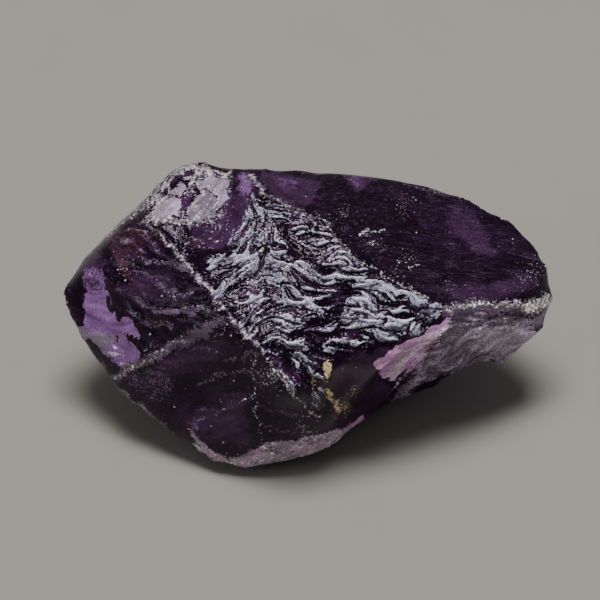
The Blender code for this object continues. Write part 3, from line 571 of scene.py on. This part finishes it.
def shape_and_paint(stone, sizes):
    """Adds the fine relief and stores how much of each finish a point has."""
    mesh = stone.data
    neighbours = Neighbours(mesh)
    places = places_of(mesh)
    for _ in range(2):
        places += 0.4 * (neighbours.mean(places) - places)
    put_places(mesh, places)
    facing = facing_of(mesh)
    ridge = smoothstep(0.004, 0.05, neighbours.mean(ridge_nearness(mesh, neighbours, 4)))
    x, y, _ = picture(places)
    front = smoothstep(-0.05, 0.2, facing @ eye_axes(SEEN_FROM_ABOVE)[2])
    comb = Comb(FRONT_STRANDS, 5)
    grids = [comb.grid(*size) for size in RIBBONS]
    broad, coarse, fine, hair = (comb.sample(grid, x, y) for grid in grids)
    # Painted light: how much brighter the ribbons are just below a point than just above it, so that
    # upper rims are painted lit.
    lit = sum(comb.sample(grid, x, y - 0.09) - comb.sample(grid, x, y + 0.09) for grid in grids[1:3])
    lit /= lit.std()
    back_x, back_y, _ = picture(places, BACK_FROM_ABOVE, True)
    back_comb = Comb(BACK_STRANDS, 8)
    behind = back_comb.sample(back_comb.grid(0.45, 3.5), back_x, back_y)

    wide = cloud(places, 3.0, 5.1)
    middling = cloud(places, 1.1, 2.7)
    small = cloud(places, 0.45, 8.3)
    gritty = cloud(places, 0.28, 4.4)
    wx, wy = x + 0.4 * middling + 0.2 * small, y + 0.4 * cloud(places, 1.1, 9.2) + 0.2 * gritty

    splinter = front * inside(SPLINTERED, wx, wy, 0.35)
    top = front * inside(TOP_FACE, wx, wy, 0.5)
    fluted = front * inside(FLUTED, wx, wy, 0.5)
    bowls = front * inside(BOWLS, wx, wy, 0.6)
    dark = front * inside(DARK_FACE, wx, wy, 0.6)
    pit = front * inside(PIT, wx, wy, 0.3)
    crushed = front * np.maximum(inside(CRUSHED_TOP, wx, wy, 0.5), inside(FOOT_RIM, wx, wy, 0.4))
    hind = 1 - front
    hackly_hind = hind * smoothstep(0.05, 0.30, cloud(places, 8.0, 5.1) + 0.2 * middling)

    painted = {name: np.zeros(len(places)) for name in FINISHES}
    for finish, strength, soft, outline in PATCHES:
        painted[finish] = np.maximum(painted[finish], front * strength * inside(outline, wx, wy, soft))
    for finish, strength, width, points in LINES:
        near = np.exp(-((line_distance(points, wx, wy) / width) ** 2))
        painted[finish] = np.maximum(painted[finish], front * strength * near)
    for finish, strength, cx, cy, reach in SCATTERED:
        near = np.exp(-((wx - cx) ** 2 + (wy - cy) ** 2) / (2 * reach**2))
        painted[finish] = np.maximum(painted[finish], front * strength * near)
    for soft, outline in CLEARED:
        kept = 1 - inside(outline, wx, wy, soft)
        for name in painted:
            painted[name] *= kept

    bright = np.zeros(len(places))
    for cx, cy, ax, ay in SILVER_SHEEN_SPOTS:
        near = np.exp(-(((wx - cx) / ax) ** 2 + ((wy - cy) / ay) ** 2))
        bright = np.maximum(bright, near)

    def lay(finish, amount):
        painted[finish] = np.maximum(painted[finish], amount)

    # Splinters: ribbons of painted silvery sheen with painted highlights on their upper rims, dark gaps
    # between them, dark slits in them.
    # Painted light and shade: the sheen is painted stronger towards the right and weaker towards the
    # foot.
    shaded = 0.17 * smoothstep(4.0, 8.0, x) * smoothstep(-4.5, -2.0, y) - 0.07 * smoothstep(-2.5, -6.0, y)
    ribbons = 0.34 + 0.09 * coarse + 0.13 * fine + 0.04 * broad + 0.08 * bright + 0.10 * wide + shaded
    slits = np.exp(-(((fine + 0.7) / 0.35) ** 2))
    # The plume at the top left of the break is grain, not ribbons.
    plume = np.exp(-(((wx + 4.3 + 0.25 * (wy - 8.0)) / 1.1) ** 2) - ((wy - 7.6) / 2.8) ** 2)
    ribbons += plume * (0.47 + 0.32 * small + 0.25 * gritty + 0.07 * fine - ribbons)
    lay("silver_sheen", splinter * np.clip(ribbons - 0.20 * slits, 0, 0.80))
    # Painted highlights: pearl and a little frost on the lit upper rims.
    rims = smoothstep(0.5, 1.6, lit) * smoothstep(0.36, 0.48, ribbons)
    lay("pearl", splinter * (0.15 + 0.72 * rims))
    lay("frost", splinter * (0.08 + 0.16 * rims + 0.10 * bright + 0.20 * plume))
    lay("plum", splinter * np.clip(0.36 + 0.45 * cloud(places, 2.4, 6.6), 0, 0.60))
    # Ledges of the bowls, with a painted grey reflection on them, soft arcs of the dark face, streaks of
    # the fluted face.
    lay("plum", bowls * np.clip(0.31 + 0.10 * coarse + 0.12 * broad + 0.1 * wide, 0, 0.6))
    lay("smoke", bowls * np.clip(0.08 + 0.14 * coarse + 0.15 * broad + 0.05 * fine, 0, 0.6))
    lay("plum", dark * np.clip(0.36 + 0.06 * broad + 0.04 * coarse + 0.15 * wide, 0, 0.6))
    lay("violet", dark * np.clip(0.16 + 0.12 * coarse + 0.10 * fine, 0, 0.44))
    # The fluted face's lilac streaks are part of its painted sheen.
    lay("lilac", fluted * np.clip(0.36 + 0.12 * fine + 0.10 * coarse + 0.2 * middling, 0, 0.75))
    lay("plum", fluted * np.clip(0.45 + 0.4 * wide, 0, 0.8))
    lay("plum", top * np.clip(0.34 + 0.02 * hair + 0.08 * wide + 0.05 * smoothstep(0, 14, x), 0, 0.6))
    # Pale waves of painted light across the windows.
    for strength, outline in WAVED:
        waves = np.clip(strength + 0.16 * fine + 0.12 * coarse, 0, 0.9)
        lay("pearl", front * inside(outline, wx, wy, 0.3) * waves)
    # A painted silvery sheen on the splintered parts of the back.
    lay("silver_sheen", hackly_hind * np.clip(0.36 + 0.17 * behind + 0.15 * small, 0, 0.9))
    lay("plum", hind * np.clip(0.38 + 0.12 * wide + 0.04 * behind, 0, 0.6))
    glow = smoothstep(0.10, 0.45, cloud(places, 7.0, 3.9) + 0.15 * middling)
    lay("plum", 0.62 * hind * glow)
    lay("violet", hind * glow * np.clip(0.36 + 0.10 * behind, 0, 0.6))
    lay("bruise", crushed * (0.50 + 0.6 * middling))
    lay("frost", crushed * (0.31 + 0.4 * small + 0.4 * middling))
    for outline in FLAT_FACETS:
        kept = 1 - 0.75 * inside(outline, wx, wy, 0.15)
        crumbs = painted["frost"]
        painted["frost"] = np.minimum(crumbs, np.where(crumbs < 0.47, crumbs * kept, crumbs))
        painted["bruise"] *= kept
    ridge_frost = smoothstep(0.15, 0.9, ridge) * (0.30 + 0.4 * middling)
    lay("frost", ridge_frost * (1 - 0.5 * splinter) * (1 - 0.7 * pit))
    lay("bruise", 1.2 * painted["frost"] * (1 - splinter))
    # Painted shade in the pit: less white grain and sheen there, and a plain dark violet.
    for name in ("frost", "bruise"):
        painted[name] *= 1 - 0.8 * pit
    painted["smoke"] *= 1 - 0.9 * pit
    painted["plum"] *= 1 - pit
    painted["plum"] += pit * np.clip(0.48 + 0.03 * (x - 3.0), 0.44, 0.62)

    height = splinter * (sizes.ribbon * broad + 0.8 * sizes.ribbon * coarse + sizes.splinter * fine)
    height += top * sizes.striation * hair
    height += fluted * (0.35 * sizes.ribbon * coarse + 2 * sizes.striation * fine)
    height += bowls * (0.25 * sizes.ribbon * coarse + sizes.striation * fine)
    height += dark * 0.6 * sizes.striation * fine
    height += hackly_hind * 0.8 * sizes.ribbon * behind
    grain = np.maximum(crushed, smoothstep(0.25, 0.6, painted["frost"]))
    height += sizes.crush * grain * (small + gritty)
    height = np.minimum(height, RELIEF_LIMIT)
    places += facing * height[:, None]
    places[places[:, 2] < 0.08, 2] = 0
    put_places(mesh, places)
    # The combed lines carry the painted light and shade of the rims as well.
    lines = np.where(top > 0.5, 0.6 * hair, fine) * front + behind * hind + 1.9 * splinter * lit
    lines += (0.8 * fluted + 0.6 * bowls) * lit + 3.0 * splinter * cloud(places, 1.7, 7.7)
    relief = splinter * (0.6 * coarse + 0.4 * fine) + fluted * 0.35 * (coarse + fine)
    relief += bowls * 0.5 * (coarse + 0.5 * broad) + 0.12 * top * hair + 0.15 * dark * coarse
    relief += 0.4 * hackly_hind * behind
    stored = {name: np.clip(values, 0, 1) for name, values in painted.items()}
    stored["combed"] = lines
    stored["striated"] = top
    stored["wisps"] = (coarse + 0.5 * fine) * front + behind * hind
    stored["ledges"] = relief
    for name, values in stored.items():
        made = mesh.attributes.new(name, "FLOAT", "POINT")
        made.data.foreach_set("value", values.astype(np.float32))



def linear(code):
    """An sRGB hex colour as linear values, with full alpha."""
    parts = [int(code[i : i + 2], 16) / 255 for i in (1, 3, 5)]
    return (*(p / 12.92 if p <= 0.04045 else ((p + 0.055) / 1.055) ** 2.4 for p in parts), 1.0)


def node(tree, kind, inputs=(), **settings):
    """Adds a node with its settings. An input is a value, or the socket that it comes from."""
    made = tree.nodes.new(kind)
    for name, value in settings.items():
        setattr(made, name, value)
    for socket, value in dict(inputs).items():
        if isinstance(value, bpy.types.NodeSocket):
            tree.links.new(value, made.inputs[socket])
        else:
            made.inputs[socket].default_value = value
    return made


def stored_value(tree, name):
    """A value stored at the mesh's points."""
    return node(tree, "ShaderNodeAttribute", attribute_name=name).outputs["Fac"]


def ranged(tree, value, low, high, to_low, to_high, **settings):
    """A value brought from one range to another."""
    ends = {"Value": value, "From Min": low, "From Max": high, "To Min": to_low, "To Max": to_high}
    return node(tree, "ShaderNodeMapRange", ends, **settings).outputs["Result"]


def worked(tree, operation, *values):
    return node(tree, "ShaderNodeMath", enumerate(values), operation=operation).outputs[0]


def mixed(tree, share, first, second):
    return node(tree, "ShaderNodeMix", {0: share, 2: first, 3: second}).outputs[0]


def tinted(tree, share, first, second, **settings):
    ends = {0: share, 6: first, 7: second}
    return node(tree, "ShaderNodeMix", ends, data_type="RGBA", **settings).outputs[2]


def empty_material(name):
    material = bpy.data.materials.new(name)
    material.use_nodes = True
    material.node_tree.nodes.clear()
    return material


def amethyst_quartz(look):
    """Amethyst, which is violet quartz, as broken by hand: clear and glassy on its smooth
    breaks, where it reads almost black because light dies inside it, painted with a silvery
    sheen of reflected light where it splintered, and white where its ridges are crushed to grain."""
    material = empty_material("amethyst quartz, broken")
    tree = material.node_tree
    seat = node(tree, "ShaderNodeTexCoord").outputs["Object"]
    in_mm = node(tree, "ShaderNodeMapping", {"Vector": seat, "Scale": (1 / MM,) * 3}).outputs["Vector"]
    # Crushed quartz: angular chips about 0.2 mm across, over finer grain.
    chips = {"Vector": in_mm, "Scale": 1 / CHIP_SIZE, "Randomness": 1.0}
    chips = node(tree, "ShaderNodeTexVoronoi", chips)
    chip = node(tree, "ShaderNodeSeparateColor", {"Color": chips.outputs["Color"]})
    grains = {"Vector": in_mm, "Scale": 1 / GRAIN_SIZE, "Detail": 3.0, "Roughness": 0.65}
    grains = node(tree, "ShaderNodeTexNoise", grains).outputs["Fac"]
    spread = ranged(tree, grains, 0.30, 0.70, -0.75, 0.25, clamp=False)
    spread = worked(tree, "MULTIPLY_ADD", chip.outputs[0], 0.5, spread)

    # Wisps follow the ribbons, at a quarter of their width.
    wisps = {"W": stored_value(tree, "wisps"), "Scale": 1.7, "Detail": 1.0}
    wisps = node(tree, "ShaderNodeTexNoise", wisps, noise_dimensions="1D").outputs["Fac"]
    wisps = ranged(tree, wisps, 0.32, 0.68, -0.5, 0.5, clamp=False)
    wispy = worked(tree, "MULTIPLY_ADD", wisps, 0.9, spread)

    # The lines that a break leaves, and the painted light and shade on the rims of the ribbons and
    # ledges, lighten or darken the colour, also in the clear body.
    lines = stored_value(tree, "combed")
    tone = ranged(tree, lines, -4.0, 4.0, 0.28, 1.72)
    mottle = {"Vector": in_mm, "Scale": 1 / 1.6, "Detail": 3.0}
    mottle = node(tree, "ShaderNodeTexNoise", mottle).outputs["Fac"]
    tone = worked(tree, "MULTIPLY", tone, ranged(tree, mottle, 0.3, 0.7, 0.8, 1.2))
    clear = ranged(tree, lines, 0.0, 2.5, BODY[1], BODY[1] - 0.10)

    colour, rough, shares = linear(BODY[0]), look.glassy, {}
    for name, (code, clearness, roughness, broken) in FINISHES.items():
        edge = wispy if name in WISPY else spread
        edge = worked(tree, "MULTIPLY_ADD", edge, 0.4 * broken, stored_value(tree, name))
        share = ranged(tree, edge, 0.36, 0.64, 0.0, 1.0, interpolation_type="SMOOTHSTEP")
        shares[name] = share
        colour = tinted(tree, share, colour, linear(code))
        clear = mixed(tree, share, clear, clearness)
        rough = mixed(tree, share, rough, roughness)

    # Painted glints: each chip is painted brighter or darker, as if it caught the light on its own.
    glint = ranged(tree, chip.outputs[1], 0.0, 1.0, 0.25, 1.55)
    grit = ranged(tree, grains, 0.3, 0.7, 0.6, 1.4)
    # Inside the painted sheen, the colour is painted lighter and darker along the wisps.
    sheen_folds = worked(tree, "MULTIPLY", ranged(tree, wisps, -0.5, 0.5, 0.12, 1.46), grit)
    grit = mixed(tree, shares["silver_sheen"], grit, sheen_folds)
    tone = worked(tree, "MULTIPLY", tone, mixed(tree, shares["frost"], grit, glint))

    # Hackle lines run along the dark top face, 0.1 to 0.2 mm apart.
    turned = Vector(STRIATION_RUN).rotation_difference(Vector((1, 0, 0))).to_euler()
    along = node(tree, "ShaderNodeMapping", {"Vector": in_mm, "Rotation": turned}).outputs["Vector"]
    along = {"Vector": along, "Scale": (1 / 14.0, 1 / HACKLE_WIDTH, 1 / HACKLE_WIDTH)}
    along = node(tree, "ShaderNodeMapping", along).outputs["Vector"]
    hackle = {"Vector": along, "Scale": 1.0, "Detail": 2.0, "Roughness": 0.6}
    hackle = node(tree, "ShaderNodeTexNoise", hackle).outputs["Fac"]
    hackle = ranged(tree, hackle, 0.50, 0.74, 0.0, 0.40)
    hackle = worked(tree, "MULTIPLY", hackle, stored_value(tree, "striated"))
    colour = tinted(tree, hackle, colour, linear("#a58fae"))
    clear = mixed(tree, hackle, clear, 0.5)
    colour = tinted(tree, 1.0, colour, tone, blend_type="MULTIPLY")

    # Dust and tiny chips sit on the whole stone, up to 0.2 mm across and about 1 mm apart.
    cells = {"Vector": in_mm, "Scale": 1 / DUST_SPACING, "Randomness": 1.0}
    cells = node(tree, "ShaderNodeTexVoronoi", cells)
    chance = node(tree, "ShaderNodeSeparateColor", {"Color": cells.outputs["Color"]}).outputs[0]
    size = ranged(tree, chance, 0.45, 1.0, 0.0, 0.10)
    speck = worked(tree, "LESS_THAN", cells.outputs["Distance"], size)
    colour = tinted(tree, speck, colour, linear("#d9d2d0"))
    clear = mixed(tree, speck, clear, 0.2)

    # Ledges up to 0.1 mm high and grain of 0.01 mm, as heights in millimetres.
    height = worked(tree, "MULTIPLY", grains, 0.02)
    height = worked(tree, "MULTIPLY_ADD", stored_value(tree, "ledges"), 0.03, height)
    bump = {"Strength": 1.0, "Distance": MM, "Height": height}
    bump = node(tree, "ShaderNodeBump", bump).outputs["Normal"]
    # Chips lie at odd angles.
    odd = {0: chips.outputs["Color"], 1: (0.5, 0.5, 0.5)}
    odd = node(tree, "ShaderNodeVectorMath", odd, operation="SUBTRACT").outputs[0]
    lean = worked(tree, "MULTIPLY_ADD", shares["frost"], 1.3, 0.05)
    odd = node(tree, "ShaderNodeVectorMath", {0: odd, "Scale": lean}, operation="SCALE").outputs[0]
    normal = node(tree, "ShaderNodeVectorMath", {0: bump, 1: odd}, operation="ADD").outputs[0]
    normal = node(tree, "ShaderNodeVectorMath", {0: normal}, operation="NORMALIZE").outputs[0]
    skin = {
        "Base Color": colour,
        "Transmission Weight": clear,
        "Roughness": rough,
        "IOR": QUARTZ_IOR,
        "Specular IOR Level": SHEEN,
        "Specular Tint": SHEEN_TINT,
        "Normal": normal,
    }
    shader = node(tree, "ShaderNodeBsdfPrincipled", skin)
    inner = {"Color": (*look.dye, 1.0), "Density": look.depth / MM}
    inner = node(tree, "ShaderNodeVolumeAbsorption", inner)
    ends = {"Surface": shader.outputs["BSDF"], "Volume": inner.outputs["Volume"]}
    node(tree, "ShaderNodeOutputMaterial", ends)
    return material


def pale_paper(stage):
    """Matte paper, so that the floor gives the stone nothing but even light."""
    material = empty_material("pale matte paper")
    tree = material.node_tree
    fibres = node(tree, "ShaderNodeTexNoise", {"Scale": 400.0, "Detail": 3.0})
    shades = ranged(tree, fibres.outputs["Fac"], 0.0, 1.0, 0.97, 1.03)
    colour = tinted(tree, 1.0, (*stage.floor, 1.0), shades, blend_type="MULTIPLY")
    shader = node(tree, "ShaderNodeBsdfPrincipled", {"Base Color": colour, "Roughness": 0.9})
    node(tree, "ShaderNodeOutputMaterial", {"Surface": shader.outputs["BSDF"]})
    return material


def add_softbox(name, place, aim, width, depth, watts):
    data = bpy.data.lights.new(name, "AREA")
    data.shape = "RECTANGLE"
    data.size = width
    data.size_y = depth
    data.energy = watts
    light = bpy.data.objects.new(name, data)
    light.location = place
    light.rotation_euler = (Vector(aim) - Vector(place)).to_track_quat("-Z", "Y").to_euler()
    bpy.context.scene.collection.objects.link(light)


def add_camera():
    across, up, towards = (Vector(axis) for axis in eye_axes(SEEN_FROM_ABOVE))
    aim = Vector(MIDDLE) + across * PICTURE_MIDDLE[0] + up * PICTURE_MIDDLE[1]
    data = bpy.data.cameras.new("camera")
    data.sensor_width = 36.0
    data.lens = data.sensor_width * EYE_DISTANCE / VIEW_WIDTH
    data.clip_start = 0.01
    data.clip_end = 20.0
    camera = bpy.data.objects.new("camera", data)
    camera.location = (aim + towards * EYE_DISTANCE) * MM
    camera.rotation_euler = (-towards).to_track_quat("-Z", "Y").to_euler()
    bpy.context.scene.collection.objects.link(camera)
    bpy.context.scene.camera = camera


def add_world(stage):
    world = bpy.data.worlds.new("studio")
    world.use_nodes = True
    tree = world.node_tree
    tree.nodes.clear()
    sky = {"Color": (*stage.air, 1.0), "Strength": stage.air_strength}
    sky = node(tree, "ShaderNodeBackground", sky)
    node(tree, "ShaderNodeOutputWorld", {"Surface": sky.outputs["Background"]})
    bpy.context.scene.world = world


class AmethystSizes(PropertyGroup):
    """Sizes of the stone's fine surface, in millimetres."""

    grain: FloatProperty(
        name="Grain",
        description="Spacing of the mesh where the front view leaves it whole, in mm",
        default=0.295,
        min=0.2,
    )
    smoothing: IntProperty(
        name="Smoothing", description="Passes that even out the smooth breaks", default=50, min=0
    )
    ribbon: FloatProperty(
        name="Ribbons", description="Height of the broad ribbons in mm", default=0.055
    )
    splinter: FloatProperty(
        name="Splinters", description="Height of the thin splinters in mm", default=0.035
    )
    striation: FloatProperty(
        name="Striations", description="Height of the finest lines in mm", default=0.010
    )
    crush: FloatProperty(
        name="Crushed grain", description="Height of the crushed grain in mm", default=0.07
    )


class AmethystLook(PropertyGroup):
    """How clear and how violet the quartz is."""

    glassy: FloatProperty(
        name="Glassy roughness",
        description="Roughness of the smooth breaks",
        default=0.06,
        subtype="FACTOR",
        min=0,
        max=1,
    )
    dye: FloatVectorProperty(
        name="Dye",
        description="Colour that the quartz lets through",
        default=(0.45, 0.0, 0.58),
        subtype="COLOR",
        min=0,
        max=1,
    )
    depth: FloatProperty(
        name="Depth of dye", description="How much light the dye takes in each mm", default=0.5
    )


class StudioLook(PropertyGroup):
    """The floor, the air and the softboxes."""

    floor: FloatVectorProperty(
        name="Floor",
        description="Colour of the paper",
        default=linear("#aaa69e")[:3],
        subtype="COLOR",
        min=0,
        max=1,
    )
    air: FloatVectorProperty(
        name="Air",
        description="Colour of the even light",
        default=linear("#e6e6ea")[:3],
        subtype="COLOR",
        min=0,
        max=1,
    )
    air_strength: FloatProperty(
        name="Even light", description="Strength of the even light", default=0.16
    )
    key: FloatProperty(
        name="Softbox", description="Power of the softbox overhead", default=4.2, unit="POWER"
    )
    fill: FloatProperty(
        name="Fill", description="Power of the softbox at the left", default=0.65, unit="POWER"
    )


class AMETHYST_OT_stone(Operator):
    """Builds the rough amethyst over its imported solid"""

    bl_idname = "amethyst.stone"
    bl_label = "Rough amethyst"

    def execute(self, context):
        sizes = context.scene.amethyst_sizes
        stone = fine_copy(sizes)
        even_out(stone, sizes)
        refine_front(stone)
        shape_and_paint(stone, sizes)
        stone.data.transform(Matrix.Scale(MM, 4))
        stone.data.shade_smooth()
        stone.data.materials.clear()
        stone.data.materials.append(amethyst_quartz(context.scene.amethyst_look))
        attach(stone, "root")
        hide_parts(NODE)
        return {"FINISHED"}


class AMETHYST_OT_stage(Operator):
    """Adds the pale floor, the soft light and the camera"""

    bl_idname = "amethyst.stage"
    bl_label = "Pale floor and soft light"

    def execute(self, context):
        studio = context.scene.amethyst_studio
        bm = bmesh.new()
        bmesh.ops.create_grid(bm, x_segments=2, y_segments=2, size=FLOOR_REACH)
        bmesh.ops.translate(bm, vec=(0, 0, -FLOOR_GAP), verts=bm.verts)
        mesh = bpy.data.meshes.new("floor")
        bm.to_mesh(mesh)
        bm.free()
        mesh.materials.append(pale_paper(studio))
        floor = bpy.data.objects.new("floor", mesh)
        context.scene.collection.objects.link(floor)
        add_softbox("softbox", SOFTBOX_PLACE, LIT_PLACE, 0.30, 0.24, studio.key)
        add_softbox("fill", FILL_PLACE, LIT_PLACE, 0.30, 0.30, studio.fill)
        add_camera()
        add_world(studio)
        return {"FINISHED"}


class AMETHYST_PT_panel(Panel):
    """Shows the settings and the buttons that build the stone and the stage"""

    bl_label = "Rough amethyst"
    bl_idname = "AMETHYST_PT_panel"
    bl_space_type = "VIEW_3D"
    bl_region_type = "UI"
    bl_category = "Amethyst"

    def draw(self, context):
        for group in ("amethyst_sizes", "amethyst_look", "amethyst_studio"):
            settings = getattr(context.scene, group)
            box = self.layout.box()
            for name in settings.bl_rna.properties.keys():
                if name not in ("rna_type", "name"):
                    box.prop(settings, name)
        for operator in (AMETHYST_OT_stone, AMETHYST_OT_stage):
            self.layout.operator(operator.bl_idname)


CLASSES = (
    AmethystSizes, AmethystLook, StudioLook, AMETHYST_OT_stone, AMETHYST_OT_stage, AMETHYST_PT_panel,
)


def register():
    for made in CLASSES:
        bpy.utils.register_class(made)
    bpy.types.Scene.amethyst_sizes = PointerProperty(type=AmethystSizes)
    bpy.types.Scene.amethyst_look = PointerProperty(type=AmethystLook)
    bpy.types.Scene.amethyst_studio = PointerProperty(type=StudioLook)


def unregister():
    del bpy.types.Scene.amethyst_studio
    del bpy.types.Scene.amethyst_look
    del bpy.types.Scene.amethyst_sizes
    for made in reversed(CLASSES):
        bpy.utils.unregister_class(made)


def main():
    register()
    bpy.ops.amethyst.stone()
    bpy.ops.amethyst.stage()


if __name__ == "__main__":
    main()
